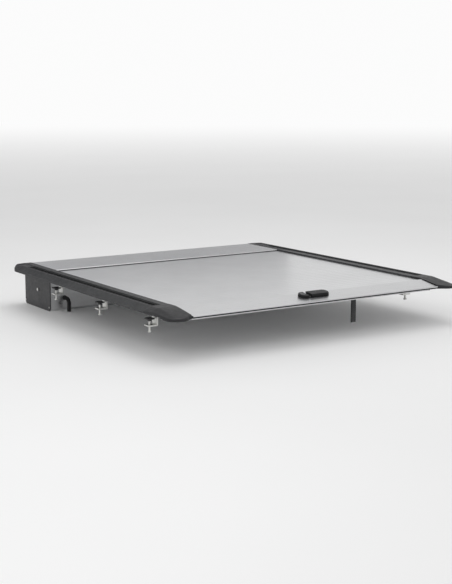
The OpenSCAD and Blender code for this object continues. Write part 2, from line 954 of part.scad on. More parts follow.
side_rail_left();
side_rail_right();
rail_nose_left();
rail_nose_right();
rail_front_cap_left();
rail_front_cap_right();
track_liner_left();
track_liner_right();
rail_seals();
clamp_brackets();
bracket_screws();
clamp_jaws();
clamp_bolts();
strike_plates();
nose_screws();
canister_tray();
canister_lid();
end_plate_left();
end_plate_right();
end_plate_screws();
lid_screws();
mouth_seal();
bulkhead_seal();
drain_spouts();
drain_hoses();
spool_axle();
return_spring();
curtain_straps();
spool_tube();
spool_hubs();
spring_drum();
slats_1();
slats_2();
slats_3();
slats_4();
slats_5();
glides_1();
glides_2();
glides_3();
glides_4();
glides_5();
end_bar();
end_bar_cap_left();
end_bar_cap_right();
tailgate_seal();
pull_strap();
handle_base();
handle_screws();
handle_lever();
handle_pin();
lock_barrel();
lock_plug();
lock_cam();
latch_crank();
latch_rod_left();
latch_rod_right();
latch_bolt_left();
latch_bolt_right();
latch_springs();
rod_guides();
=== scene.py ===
"""Roll-up tonneau cover: finishes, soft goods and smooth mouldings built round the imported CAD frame."""

import bmesh
import bpy
import json
import math
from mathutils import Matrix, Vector


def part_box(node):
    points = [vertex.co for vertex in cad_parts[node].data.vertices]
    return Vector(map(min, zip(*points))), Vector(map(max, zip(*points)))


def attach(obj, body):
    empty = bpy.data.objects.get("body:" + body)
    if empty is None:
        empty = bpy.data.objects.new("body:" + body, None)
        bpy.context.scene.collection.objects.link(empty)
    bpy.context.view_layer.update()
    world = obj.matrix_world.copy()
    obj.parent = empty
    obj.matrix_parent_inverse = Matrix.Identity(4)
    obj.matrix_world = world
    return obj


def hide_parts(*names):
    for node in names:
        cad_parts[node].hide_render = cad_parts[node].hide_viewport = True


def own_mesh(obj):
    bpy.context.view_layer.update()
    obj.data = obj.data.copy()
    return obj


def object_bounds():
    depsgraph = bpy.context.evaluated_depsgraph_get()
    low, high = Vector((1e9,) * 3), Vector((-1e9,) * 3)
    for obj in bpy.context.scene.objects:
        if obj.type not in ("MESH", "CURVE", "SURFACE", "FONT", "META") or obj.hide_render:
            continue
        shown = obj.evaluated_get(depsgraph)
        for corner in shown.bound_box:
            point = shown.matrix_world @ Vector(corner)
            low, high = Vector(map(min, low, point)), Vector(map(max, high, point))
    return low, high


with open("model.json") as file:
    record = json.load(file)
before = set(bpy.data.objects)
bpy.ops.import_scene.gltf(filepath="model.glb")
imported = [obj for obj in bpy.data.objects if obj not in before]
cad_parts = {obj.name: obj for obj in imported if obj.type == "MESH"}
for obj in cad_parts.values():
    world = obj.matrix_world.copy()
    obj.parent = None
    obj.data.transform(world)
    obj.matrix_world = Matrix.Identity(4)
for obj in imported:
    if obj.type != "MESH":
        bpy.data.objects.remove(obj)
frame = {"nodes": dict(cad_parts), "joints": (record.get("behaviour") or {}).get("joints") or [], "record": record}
CAD_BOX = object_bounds()
NODES = frame["nodes"]
MM = 0.001


# ---------------------------------------------------------------- places read from the frame

RAIL_LOW, RAIL_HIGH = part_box("side_rail_right")
NOSE_LOW, NOSE_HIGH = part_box("rail_nose_right")
BAR_LOW, BAR_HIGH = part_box("end_bar")
INNER_X = RAIL_LOW.x
OUTER_X = RAIL_HIGH.x
RAIL_TOP = RAIL_HIGH.z
BAR_Y = BAR_HIGH.y
LIP_Y = BAR_LOW.y


# ---------------------------------------------------------------- materials

# Noise seldom leaves this range, so it is stretched from here
NOISE_RANGE = (0.3, 0.7)

# Recess for accessories in each rail's top: its middle, half width and depth, how far painted shade darkens its
# colour, and how dull it is
RECESS_X = INNER_X + 60 * MM
RECESS_HALF = 22 * MM
RECESS_DEPTH = 2 * MM
RECESS_PAINTED_SHADE = 0.3
RECESS_SHINE = 0.05
COAT_SHINE = 0.25


def map_range(tree, value, source, target, interpolation="LINEAR"):
    """Carries a value from one range to another in a node tree."""
    made = tree.nodes.new("ShaderNodeMapRange")
    made.interpolation_type = interpolation
    for name, number in zip(("From Min", "From Max", "To Min", "To Max"), (*source, *target)):
        made.inputs[name].default_value = number
    tree.links.new(value, made.inputs["Value"])
    return made.outputs["Result"]


class Shader:
    """A Principled material with helpers that wire procedural detail into it."""

    def __init__(self, name, colour, rough, metal=0.0):
        self.material = bpy.data.materials.new(name)
        self.material.use_nodes = True
        self.tree = self.material.node_tree
        self.bsdf = self.tree.nodes["Principled BSDF"]
        self.bsdf.inputs["Base Color"].default_value = (*colour, 1)
        self.bsdf.inputs["Roughness"].default_value = rough
        self.bsdf.inputs["Metallic"].default_value = metal
        self.colour = colour
        self.rough = rough
        self.relief = None
        self.place = self.node("ShaderNodeTexCoord").outputs["Object"]

    def node(self, kind, **values):
        made = self.tree.nodes.new(kind)
        for key, value in values.items():
            setattr(made, key, value)
        return made

    def link(self, a, b):
        self.tree.links.new(a, b)

    def stretched(self, scale):
        mapping = self.node("ShaderNodeMapping")
        mapping.inputs["Scale"].default_value = scale
        self.link(self.place, mapping.inputs["Vector"])
        return mapping.outputs["Vector"]

    def noise(self, scale, detail, stretch=(1, 1, 1)):
        made = self.node("ShaderNodeTexNoise")
        made.inputs["Scale"].default_value = scale
        made.inputs["Detail"].default_value = detail
        self.link(self.stretched(stretch), made.inputs["Vector"])
        return made.outputs["Fac"]

    def wave(self, scale, direction):
        made = self.node("ShaderNodeTexWave", wave_type="BANDS", bands_direction=direction)
        made.inputs["Scale"].default_value = scale
        self.link(self.place, made.inputs["Vector"])
        return made.outputs["Fac"]

    def maths(self, operation, *values):
        made = self.node("ShaderNodeMath", operation=operation)
        for k, value in enumerate(values):
            if isinstance(value, (int, float)):
                made.inputs[k].default_value = value
            else:
                self.link(value, made.inputs[k])
        return made.outputs["Value"]

    def vary_rough(self, noise, amount):
        """Lets the roughness wander by this amount either way."""
        result = map_range(self.tree, noise, NOISE_RANGE, (self.rough - amount, self.rough + amount))
        self.link(result, self.bsdf.inputs["Roughness"])
        return self

    def vary_colour(self, noise, low, high):
        """Lets the colour wander between these multiples of itself."""
        ramp = self.node("ShaderNodeMix", data_type="RGBA")
        ramp.inputs["A"].default_value = (*[c * low for c in self.colour], 1)
        ramp.inputs["B"].default_value = (*[min(1, c * high) for c in self.colour], 1)
        self.link(map_range(self.tree, noise, NOISE_RANGE, (0, 1)), ramp.inputs["Factor"])
        self.link(ramp.outputs["Result"], self.bsdf.inputs["Base Color"])
        return self

    def bump(self, value, depth, strength):
        """Adds relief on top of any relief that is there already."""
        made = self.node("ShaderNodeBump")
        made.inputs["Strength"].default_value = strength
        made.inputs["Distance"].default_value = depth
        self.link(value, made.inputs["Height"])
        if self.relief is not None:
            self.link(self.relief, made.inputs["Normal"])
        self.relief = made.outputs["Normal"]
        self.link(self.relief, self.bsdf.inputs["Normal"])
        return self

    def blend(self, amount, first, second):
        made = self.node("ShaderNodeMixShader")
        self.link(amount, made.inputs[0])
        self.link(first, made.inputs[1])
        self.link(second, made.inputs[2])
        return made.outputs["Shader"]


def satin_silver(name, colour, rough):
    """Anodised aluminium with its grain along X, the way the slats and panels were extruded."""
    s = Shader(name, colour, rough, metal=1.0)
    along_x = (0.02, 1, 1)
    s.vary_rough(s.noise(700, 3, along_x), 0.05)
    s.vary_colour(s.noise(6, 2), 0.97, 1.02)
    s.bump(s.noise(2600, 2, along_x), 0.02 * MM, 0.35)
    return s.material


def powder_black(name, colour, rough):
    """Powder coat with a fine orange peel."""
    s = Shader(name, colour, rough)
    s.bsdf.inputs["Specular IOR Level"].default_value = COAT_SHINE
    s.vary_rough(s.noise(40, 4), 0.05)
    s.vary_colour(s.noise(9, 3), 0.85, 1.2)
    s.bump(s.noise(1800, 2), 0.04 * MM, 0.5)
    return s


def rail_coat_and_painted_shade(name, colour, rough):
    """Powder coat, matt and finely ribbed along the recess for accessories in the rail's top, where the colour is
    darkened as painted shade.
    """
    s = powder_black(name, colour, rough)
    split = s.node("ShaderNodeSeparateXYZ")
    s.link(s.place, split.inputs["Vector"])
    off_middle = s.maths("ABSOLUTE", s.maths("SUBTRACT", s.maths("ABSOLUTE", split.outputs["X"]), RECESS_X))
    inside = s.maths("LESS_THAN", off_middle, RECESS_HALF)
    above = s.maths("GREATER_THAN", split.outputs["Z"], RAIL_TOP - RECESS_DEPTH)
    recess = s.maths("MULTIPLY", inside, above)
    coat = s.bsdf.inputs["Base Color"].links[0].from_socket
    # Painted shade: the recess's colour is darkened to stand in for the shade that falls into it.
    recess_painted_shade = s.node("ShaderNodeMix", data_type="RGBA")
    recess_painted_shade.inputs["B"].default_value = (*[c * RECESS_PAINTED_SHADE for c in colour], 1)
    s.link(recess, recess_painted_shade.inputs["Factor"])
    s.link(coat, recess_painted_shade.inputs["A"])
    s.link(recess_painted_shade.outputs["Result"], s.bsdf.inputs["Base Color"])
    shine = s.maths("MULTIPLY_ADD", recess, RECESS_SHINE - COAT_SHINE, COAT_SHINE)
    s.link(shine, s.bsdf.inputs["Specular IOR Level"])
    s.bump(s.maths("MULTIPLY", s.wave(160, "X"), recess), 0.4 * MM, 0.8)
    return s.material


def moulded_black(name, colour, rough, grain_depth, shine=0.3):
    """Grained plastic moulding."""
    s = Shader(name, colour, rough)
    s.bsdf.inputs["Specular IOR Level"].default_value = shine
    s.vary_rough(s.noise(60, 3), 0.06)
    s.vary_colour(s.noise(14, 3), 0.88, 1.15)
    cells = s.node("ShaderNodeTexVoronoi", feature="SMOOTH_F1")
    cells.inputs["Scale"].default_value = 900
    s.link(s.place, cells.inputs["Vector"])
    s.bump(cells.outputs["Distance"], grain_depth, 0.5)
    return s.material


def zinc(name, colour, rough):
    """Plated or drawn metal, slightly blotched."""
    s = Shader(name, colour, rough, metal=1.0)
    s.vary_rough(s.noise(260, 4), 0.08)
    s.vary_colour(s.noise(45, 4), 0.85, 1.06)
    s.bump(s.noise(900, 3), 0.03 * MM, 0.4)
    return s.material


def webbing(name, colour):
    """Woven strap: rows one way, threads the other, and a faint sheen."""
    s = Shader(name, colour, 0.85)
    s.bsdf.inputs["Sheen Weight"].default_value = 0.4
    s.vary_colour(s.noise(220, 3), 0.7, 1.35)
    s.bump(s.wave(310, "Z"), 0.3 * MM, 0.6)
    s.bump(s.wave(420, "X"), 0.2 * MM, 0.5)
    return s.material


MATERIALS = {
    "rail_black": rail_coat_and_painted_shade("rail_black", (0.03, 0.031, 0.033), 0.48),
    "nose_black": moulded_black("nose_black", (0.022, 0.022, 0.024), 0.45, 0.05 * MM, 0.2),
    "slide_plastic": moulded_black("slide_plastic", (0.1, 0.1, 0.105), 0.5, 0.02 * MM),
    "seal_rubber": moulded_black("seal_rubber", (0.014, 0.014, 0.015), 0.7, 0.06 * MM),
    "zinc_steel": zinc("zinc_steel", (0.62, 0.62, 0.6), 0.34),
    "cast_black": moulded_black("cast_black", (0.045, 0.045, 0.047), 0.5, 0.12 * MM),
    "slat_silver": satin_silver("slat_silver", (0.65, 0.653, 0.66), 0.34),
    "panel_silver": satin_silver("panel_silver", (0.65, 0.653, 0.66), 0.32),
    "spring_steel": zinc("spring_steel", (0.3, 0.3, 0.32), 0.3),
    "webbing": webbing("webbing", (0.02, 0.02, 0.021)),
    "spout_plastic": moulded_black("spout_plastic", (0.03, 0.03, 0.03), 0.35, 0.02 * MM),
    "handle_plastic": moulded_black("handle_plastic", (0.012, 0.012, 0.013), 0.38, 0.02 * MM, 0.13),
    "lock_chrome": zinc("lock_chrome", (0.13, 0.13, 0.135), 0.24),
}
SLOT_OF = {row["node"]: row["material_slot"] for row in frame["record"]["subparts"]}


def dress(piece, slot):
    piece.data.materials.clear()
    piece.data.materials.append(MATERIALS[slot])


# ---------------------------------------------------------------- mesh building

WELD_GAP = 0.01 * MM
SHARP_ANGLE = math.radians(35)


def add_object(name, data):
    made = bpy.data.objects.new(name, data)
    bpy.context.scene.collection.objects.link(made)
    return made


def outward_mesh(name, verts, faces, weld=False):
    """Mesh with all its faces turned outwards, its near points welded if asked."""
    mesh = bpy.data.meshes.new(name)
    mesh.from_pydata([tuple(v) for v in verts], [], faces)
    shell = bmesh.new()
    shell.from_mesh(mesh)
    if weld:
        bmesh.ops.remove_doubles(shell, verts=shell.verts, dist=WELD_GAP)
        bmesh.ops.dissolve_degenerate(shell, edges=shell.edges, dist=WELD_GAP)
    bmesh.ops.recalc_face_normals(shell, faces=shell.faces)
    shell.to_mesh(mesh)
    shell.free()
    return mesh


def add_piece(name, verts, faces, body, slot, replaced=()):
    """Makes a closed piece in the frame's own place, on its body and in place of the named CAD nodes."""
    piece = add_object(name, outward_mesh(name, verts, faces, weld=True))
    dress(piece, slot)
    smooth(piece)
    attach(piece, body)
    if replaced:
        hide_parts(*replaced)
    return piece


def smooth(piece):
    """Shades smoothly, with the steeper edges kept sharp."""
    shell = bmesh.new()
    shell.from_mesh(piece.data)
    for face in shell.faces:
        face.smooth = True
    for edge in shell.edges:
        edge.smooth = len(edge.link_faces) == 2 and edge.calc_face_angle(0) < SHARP_ANGLE
    shell.to_mesh(piece.data)
    shell.free()


def joined(*parts):
    """One list of points and faces out of several."""
    verts, faces = [], []
    for more_verts, more_faces in parts:
        start = len(verts)
        verts += more_verts
        faces += [tuple(start + i for i in face) for face in more_faces]
    return verts, faces


def loft(rings, close_ends=True):
    """Skins a run of closed rings that all have the same number of points."""
    count = len(rings[0])
    verts = [point for ring in rings for point in ring]
    faces = []
    for k in range(len(rings) - 1):
        a, b = k * count, (k + 1) * count
        faces += [(a + i, a + (i + 1) % count, b + (i + 1) % count, b + i) for i in range(count)]
    if close_ends:
        faces.append(tuple(range(count)))
        faces.append(tuple(len(verts) - count + i for i in range(count)))
    return verts, faces


def sweep(path, outline, side=None, up=Vector((0, 0, 1))):
    """Rings of a flat outline (across, above) carried along a path; side fixes the direction across."""
    rings = []
    for k, point in enumerate(path):
        ahead = path[min(k + 1, len(path) - 1)] - path[max(k - 1, 0)]
        ahead.normalize()
        across = side or ahead.cross(up).normalized()
        above = across.cross(ahead)
        rings.append([point + across * a + above * b for a, b in outline])
    return rings


def circle(radius, count):
    turns = [math.tau * k / count for k in range(count)]
    return [(radius * math.cos(a), radius * math.sin(a)) for a in turns]


def arc_points(centre, radius, start, end, count):
    """Points on an arc, angles in degrees."""
    angles = [math.radians(start + (end - start) * k / count) for k in range(count + 1)]
    return [(centre[0] + radius * math.cos(a), centre[1] + radius * math.sin(a)) for a in angles]


def rounded_box_outline(width, height, radius, steps=4):
    """Outline of a flat strip with rounded corners, centred."""
    x, y = width / 2 - radius, height / 2 - radius
    corners = ((x, y), (-x, y), (-x, -y), (x, -y))
    points = []
    for quarter, corner in enumerate(corners):
        points += arc_points(corner, radius, 90 * quarter, 90 * quarter + 90, steps)
    return points


def tube(path, outer, inner, count, side):
    """Hollow tube: outer wall, inner wall and two flat ends."""
    out_rings = sweep(path, circle(outer, count), side)
    in_rings = sweep(path, circle(inner, count), side)
    return loft(out_rings + in_rings[::-1] + out_rings[:1], close_ends=False)


def cut(piece, *cutters):
    """Takes the cutters' shapes out of a piece and deletes them."""
    for verts, faces in cutters:
        cutter = add_object("cutter", outward_mesh("cutter", verts, faces))
        boolean = piece.modifiers.new("cut", "BOOLEAN")
        boolean.operation = "DIFFERENCE"
        boolean.solver = "EXACT"
        boolean.object = cutter
        bpy.context.view_layer.update()
        ready = piece.evaluated_get(bpy.context.evaluated_depsgraph_get())
        solid = bpy.data.meshes.new_from_object(ready)
        piece.modifiers.clear()
        old = piece.data
        piece.data = solid
        solid.name = piece.name
        bpy.data.meshes.remove(old)
        bpy.data.objects.remove(cutter)
    smooth(piece)


def block(low, high):
    (x0, y0, z0), (x1, y1, z1) = low, high
    ring = [(x0, y0), (x1, y0), (x1, y1), (x0, y1)]
    return loft([[Vector((x, y, z)) for x, y in ring] for z in (z0, z1)])


def ease(t):
    t = min(1.0, max(0.0, t))
    return t * t * (3 - 2 * t)


def spread(count, ends):
    """Fractions from 0 to 1, drawn together at both ends by the share given."""
    even = [k / count for k in range(count + 1)]
    return [t + ends * ((1 - math.cos(math.pi * t)) / 2 - t) for t in even]


def fillet_drop(distance, radius):
    """How far a surface sinks at this distance from its outline, for an edge of this radius."""
    if distance >= radius:
        return 0.0
    inside = radius - max(0.0, distance)
    return radius - math.sqrt(max(0.0, radius * radius - inside * inside))


def plate_between(columns, rows, top, bottom):
    """Closed solid over a grid of plan points: top(i, j) and bottom(i, j) give points."""
    verts = [top(i, j) for i in range(columns) for j in range(rows)]
    verts += [bottom(i, j) for i in range(columns) for j in range(rows)]
    lower = columns * rows
    faces = []
    for i in range(columns - 1):
        for j in range(rows - 1):
            a, b = i * rows + j, (i + 1) * rows + j
            faces.append((a, b, b + 1, a + 1))
            faces.append((lower + a, lower + a + 1, lower + b + 1, lower + b))
    rim = [i * rows for i in range(columns)]
    rim += [(columns - 1) * rows + j for j in range(1, rows)]
    rim += [i * rows + rows - 1 for i in range(columns - 2, -1, -1)]
    rim += list(range(rows - 2, 0, -1))
    for k, a in enumerate(rim):
        b = rim[(k + 1) % len(rim)]
        faces.append((a, lower + a, lower + b, b))
    return verts, faces


# ---------------------------------------------------------------- CAD nodes that stay

# Widths of their rounded edges, in millimetres
EDGE = {
    "side_rail_left": 0.35, "side_rail_right": 0.35, "end_bar": 0.5,
    "end_bar_cap_left": 0.4, "end_bar_cap_right": 0.4,
    "canister_lid": 0.5, "canister_tray": 0.5, "end_plate_left": 0.8, "end_plate_right": 0.8,
    "clamp_brackets": 0.6, "clamp_jaws": 0.8, "clamp_bolts": 0.4, "strike_plates": 0.4,
    "spool_tube": 0.3, "spool_hubs": 0.5, "spring_drum": 0.4,
    "lock_barrel": 0.5, "latch_crank": 0.3,
}
for number in range(1, 6):
    EDGE[f"slats_{number}"] = 0.3
    EDGE[f"glides_{number}"] = 0.3


def round_edges(piece, width):
    """Joins the triangles of each flat face, then rounds the corners between faces."""
    weld = piece.modifiers.new("weld", "WELD")
    weld.merge_threshold = 0.002 * MM
    flats = piece.modifiers.new("flats", "DECIMATE")
    flats.decimate_type = "DISSOLVE"
    flats.angle_limit = math.radians(0.5)
    bevel = piece.modifiers.new("edges", "BEVEL")
    bevel.width = width * MM
    bevel.segments = 2
    bevel.limit_method = "ANGLE"
    bevel.angle_limit = math.radians(28)
    bevel.use_clamp_overlap = True
    normal = piece.modifiers.new("normals", "WEIGHTED_NORMAL")
    normal.keep_sharp = True


for node, piece in NODES.items():
    dress(piece, SLOT_OF[node])
    if node in EDGE:
        round_edges(piece, EDGE[node])


# ---------------------------------------------------------------- rail noses

# Plan: the rear corner's radius and place from the rail's inner edge, and the outline's taper and slant
NOSE_CORNER = 55 * MM
NOSE_CORNER_X = 62 * MM
NOSE_TAPER = 1.7
REAR_SLANT = 0.56
REAR_SQUARE = 0.9

# Rail's section: where its outer slope begins, the height where it ends, and the softness of the bend
SHOULDER_X = 86 * MM
OUTER_EDGE_Z = 8 * MM
BEND_SOFT = 0.16

# Side view: where the top starts to fall, how far it falls, and its rounded outline
NOSE_FALL = 61 * MM
NOSE_DROP = 24 * MM
FALL_POWER = 1.15
LEAD_IN = 5 * MM
ROUND_RUN = 70 * MM
EDGE_R_FRONT = 0.5
EDGE_R_GAIN = 7.5

# Thin wall that comes down round the rear corner
SKIRT_WALL = 6 * MM
SKIRT_START = 66 * MM
SKIRT_RUN = 42 * MM
TOP_WALL = 1.5 * MM

# Slots for the curtain's glides and for the end bar's runners
TRACK_X = (-1 * MM, 28.5 * MM)
TRACK_Z = (6.5 * MM, 20.5 * MM)
RUNNER_TOP = 14.5 * MM

# Hollow under the nose
HOLLOW_X = (36 * MM, 96 * MM)
HOLLOW_TOP = 8 * MM


class NosePlan:
    """Plan and heights of the right nose; x runs outwards from the rail's inner edge."""

    def __init__(self):
        self.width = OUTER_X - INNER_X
        self.front, self.rear = NOSE_HIGH.y, NOSE_LOW.y
        self.corner_y = self.rear + NOSE_CORNER
        self.top, self.skirt = NOSE_HIGH.z, NOSE_LOW.z
        self.fall_y = self.front - NOSE_FALL

    def outer(self, y):
        """Outer edge at this station: almost parallel, then drawn in to the corner."""
        t = max(0.0, (self.front - y) / (self.front - self.corner_y))
        return self.width - (self.width - NOSE_CORNER_X - NOSE_CORNER) * t ** NOSE_TAPER

    def rear_edge(self, x):
        """Where the rear outline is at this distance from the inner edge."""
        turn = x - NOSE_CORNER_X
        start = -NOSE_CORNER / math.sqrt(2)
        if turn > start:
            return self.corner_y - math.sqrt(max(0.0, NOSE_CORNER ** 2 - turn ** 2))
        return self.corner_y + start + (start - turn) * REAR_SLANT

    def margin(self, x, y):
        """Distance in from the outer and rear outline."""
        if y < self.corner_y and x > NOSE_CORNER_X:
            return NOSE_CORNER - math.hypot(x - NOSE_CORNER_X, y - self.corner_y)
        to_side = self.outer(max(y, self.corner_y)) - x
        return min(to_side, REAR_SQUARE * (y - self.rear_edge(x)))

    def point(self, across, along):
        """Plan point for fractions across the nose and from its front to its rear outline."""
        straight = 0.62
        if along <= straight:
            y = self.front + (self.corner_y - self.front) * along / straight
            return across * self.outer(y), y
        x = across * self.outer(self.corner_y)
        t = (along - straight) / (1 - straight)
        return x, self.corner_y + (self.rear_edge(x) - self.corner_y) * t

    def bend(self, x):
        """How far down the rail's outer slope this is, from 0 at the shoulder, with a soft start."""
        u = (x - SHOULDER_X) / (self.width - SHOULDER_X)
        if u < -BEND_SOFT:
            return 0.0
        return u if u > BEND_SOFT else (u + BEND_SOFT) ** 2 / (4 * BEND_SOFT)

    def height(self, x, y):
        """Top: the rail's section at the front, then it falls and rounds off towards the tailgate."""
        back = RAIL_TOP + (self.top - RAIL_TOP) * ease((self.front - y) / LEAD_IN)
        t = max(0.0, (self.fall_y - y) / (self.fall_y - self.rear))
        t = min(1.0, t * (1 + 0.3 * (x / self.width) ** 2))
        fall = NOSE_DROP * t ** FALL_POWER
        side_fall = (RAIL_TOP - OUTER_EDGE_Z) * self.bend(x) * (1 - 0.8 * t)
        edge_r = (EDGE_R_FRONT + EDGE_R_GAIN * ease((self.front - y) / ROUND_RUN)) * MM
        rounding = fillet_drop(self.margin(x, y), edge_r)
        return max(back - fall - side_fall - rounding, self.floor(x, y) + TOP_WALL)

    def floor(self, x, y):
        """Underside: flat on the bed, with a thin wall that comes down round the rear corner."""
        if self.margin(x, y) > SKIRT_WALL:
            return 0.0
        return self.skirt * ease((self.fall_y - SKIRT_START - y) / SKIRT_RUN)


def rail_nose(side):
    plan = NosePlan()
    sign = 1 if side == "right" else -1
    across, along = spread(44, 0.7), spread(56, 0.5)

    def surface(level):
        def at(i, j):
            x, y = plan.point(across[i], along[j])
            return Vector((sign * (INNER_X + x), y, level(x, y)))
        return at

    def hollow(x_range, y_range, z_range):
        (x0, x1), (y0, y1), (z0, z1) = x_range, y_range, z_range
        return block((sign * (INNER_X + x0), y0, z0), (sign * (INNER_X + x1), y1, z1))

    verts, faces = plate_between(len(across), len(along), surface(plan.height), surface(plan.floor))
    piece = add_piece(f"nose_{side}", verts, faces, "frame", "nose_black", [f"rail_nose_{side}"])
    cut(piece,
        hollow(TRACK_X, (BAR_Y - 20 * MM, plan.front + 1 * MM), TRACK_Z),
        hollow(TRACK_X, (BAR_Y - 62 * MM, BAR_Y - 19 * MM), (TRACK_Z[0], RUNNER_TOP)),
        hollow(HOLLOW_X, (BAR_Y - 40 * MM, plan.front - 10 * MM), (-1 * MM, HOLLOW_TOP)))


rail_nose("left")
rail_nose("right")


# ---------------------------------------------------------------- handle

def joint(name):
    return next(row for row in frame["joints"] if row["name"] == name)


# Handle, in millimetres from its middle: across the bed, up the slope, and off the slope
PIVOT = (19, 8)
BASE_R = 28.5
BASE_END = 52.5
BASE_T = 3
LEVER_X = (-28, 80)
LEVER_R = 27
LEVER_END = LEVER_X[1] - LEVER_R
LEVER_TOP = 16
LEVER_WALL = 3
LEVER_FILLET = 7
LEVER_END_FILLET = 2.5
HINGE_R = 8
HUB_R = 5
RIM_Z = 4.1
TONGUE_X = (12, 22)
TONGUE_DROP = 4.75
EAR_X = (-22, 58)
EAR_W = 6
EAR_R = 4.5
LOBE_X = -41
LOBE_TOP = 13
LOBE_FILLET = 3.5
LOCK_X = -60
LOCK_R = 11
BOSS_R = 8


class Slope:
    """Axes of the handle on the end bar's slope, worked out from its two joints."""

    def __init__(self):
        self.normal = Vector(joint("lock_turn")["axis"]).normalized()
        if self.normal.z < 0:
            self.normal.negate()
        self.right = Vector((1, 0, 0))
        self.along = self.normal.cross(self.right)
        pivot = Vector(joint("handle_lift")["pos_m"])
        pivot.x = 0
        self.middle = pivot - (self.along * PIVOT[0] + self.normal * PIVOT[1]) * MM

    def at(self, x, y, z):
        return self.middle + (self.right * x + self.along * y + self.normal * z) * MM

    def prism_x(self, outline, x0, x1):
        """A side view (up the slope, off the slope) run across the bed."""
        return loft([[self.at(x, y, z) for y, z in outline] for x in (x0, x1)])

    def prism_z(self, outline, z0, z1):
        """A plan on the slope run straight up from it."""
        return loft([[self.at(x, y, z) for x, y in outline] for z in (z0, z1)])


SLOPE = Slope()


def lever_margin(x, y):
    """Distance in from the lever's round end or its near edge."""
    if x > LEVER_END:
        return LEVER_R - math.hypot(x - LEVER_END, y)
    return LEVER_R - abs(y) if y < 0 else math.inf


def lever_top(x, y):
    """Crowned pad with a deep rounding, and a far edge that is round about the pivot."""
    middle = (LEVER_X[0] + LEVER_X[1]) / 2
    half = (LEVER_X[1] - LEVER_X[0]) / 2
    z = LEVER_TOP - 0.5 * ((x - middle) / half) ** 2 - 0.3 * (y / LEVER_R) ** 2
    z -= fillet_drop(lever_margin(x, y), LEVER_FILLET) + fillet_drop(x - LEVER_X[0], LEVER_END_FILLET)
    behind = y - PIVOT[0]
    if behind > 0:
        z = min(z, PIVOT[1] + math.sqrt(max(0, HINGE_R ** 2 - behind ** 2)))
    return z


def lever_rim(y):
    """Lower edge, which rises behind the pivot so that the lever clears its base as it lifts."""
    return RIM_Z + 0.96 * max(0.0, y - PIVOT[0] - 1.6)


def lever_plan(across, along):
    """Plan point for fractions along the lever and over its width."""
    x = LEVER_X[0] + (LEVER_X[1] - LEVER_X[0]) * across
    half = math.sqrt(max(0.0, LEVER_R ** 2 - max(0.0, x - LEVER_END) ** 2))
    half -= fillet_drop(x - LEVER_X[0], LEVER_END_FILLET)
    y = -half + 2 * half * along
    return x, min(y, LEVER_R - 0.3)


def handle_lever():
    """Hollow pad with a hub on the pin and a tongue that reaches down to the crank."""
    columns, rows = spread(54, 0.85), spread(40, 0.85)

    def top(i, j):
        x, y = lever_plan(columns[i], rows[j])
        return SLOPE.at(x, y, max(lever_top(x, y), lever_rim(y) + 0.1))

    def bottom(i, j):
        x, y = lever_plan(columns[i], rows[j])
        walled = min(lever_margin(x, y), x - LEVER_X[0], LEVER_R - y) < LEVER_WALL
        return SLOPE.at(x, y, lever_rim(y) if walled else lever_top(x, y) - LEVER_WALL)

    y, z = PIVOT
    shell = plate_between(len(columns), len(rows), top, bottom)
    hub = SLOPE.prism_x([(y + a, z + b) for a, b in circle(HUB_R, 32)], *TONGUE_X)
    blade = rounded_box_outline(3.4, 21.5, 1.2)
    tongue = SLOPE.prism_x([(y + a, z - TONGUE_DROP + b) for a, b in blade], *TONGUE_X)
    add_piece("handle_pad", *joined(shell, hub, tongue), "handle", "handle_plastic", ["handle_lever"])


def stadium(inset, z, count=40):
    """The base's outline, round at both ends, at this height."""
    half = BASE_R - inset
    right = arc_points((BASE_END, 0), half, -90, 90, count)
    left = arc_points((-BASE_END, 0), half, 90, 270, count)
    return [SLOPE.at(x, y, z) for x, y in right + left]


def lobe_ring(inset, z, count=48):
    """The base's round left end, cut off square at the notch."""
    r = BASE_R - inset
    edge = (LOBE_X - inset + BASE_END) / r
    start = math.degrees(math.acos(edge))
    return [SLOPE.at(x, y, z) for x, y in arc_points((-BASE_END, 0), r, start, 360 - start, count)]


def base_plate(lock_hole):
    """Flat plate with a rounded rim, and openings for the tongue and the lock."""
    rim = ((0, 0), (0, 1.9), (0.25, 2.5), (0.8, 2.9), (1.6, BASE_T))
    plate = loft([stadium(*step) for step in rim])
    piece = add_piece("handle_plate", *plate, "end_bar", "handle_plastic", ["handle_base"])
    slot = [(10, 2), (24, 2), (24, 25), (10, 25)]
    cut(piece, SLOPE.prism_z(slot, -1, BASE_T + 1), lock_hole)


def lock_lobe(lock_hole):
    """Raised end of the base round the lock."""
    gap = 0.02
    rings = [lobe_ring(gap, BASE_T - 1)]
    for k in range(8):
        a = math.radians(90 * k / 7)
        inset = LOBE_FILLET * (1 - math.cos(a))
        rings.append(lobe_ring(gap + inset, LOBE_TOP - LOBE_FILLET * (1 - math.sin(a))))
    cut(add_piece("lock_lobe", *loft(rings), "end_bar", "handle_plastic"), lock_hole)


def handle_ears():
    """Two ears for the pin and the boss that the crank turns in."""
    y, z = PIVOT
    outline = arc_points((y, z), EAR_R, -30, 210, 20)
    outline += [(y - EAR_R, 2.5), (y + 3, 2.5)]
    ears = [SLOPE.prism_x(outline, x, x + EAR_W) for x in EAR_X]
    crank_y = Vector(joint("crank_turn")["pos_m"]).y
    rim = [(a * MM, crank_y + b * MM) for a, b in circle(BOSS_R, 40)]
    boss = loft([[Vector((x, y, z * MM)) for x, y in rim] for z in (4, 16)])
    add_piece("handle_ears", *joined(*ears, boss), "end_bar", "handle_plastic")


def handle_base():
    lock_hole = SLOPE.prism_z([(LOCK_X + a, b) for a, b in circle(LOCK_R, 48)], -1, 20)
    base_plate(lock_hole)
    lock_lobe(lock_hole)
    handle_ears()


handle_lever()
handle_base()


# ---------------------------------------------------------------- seals

SEAL_STEPS = 24


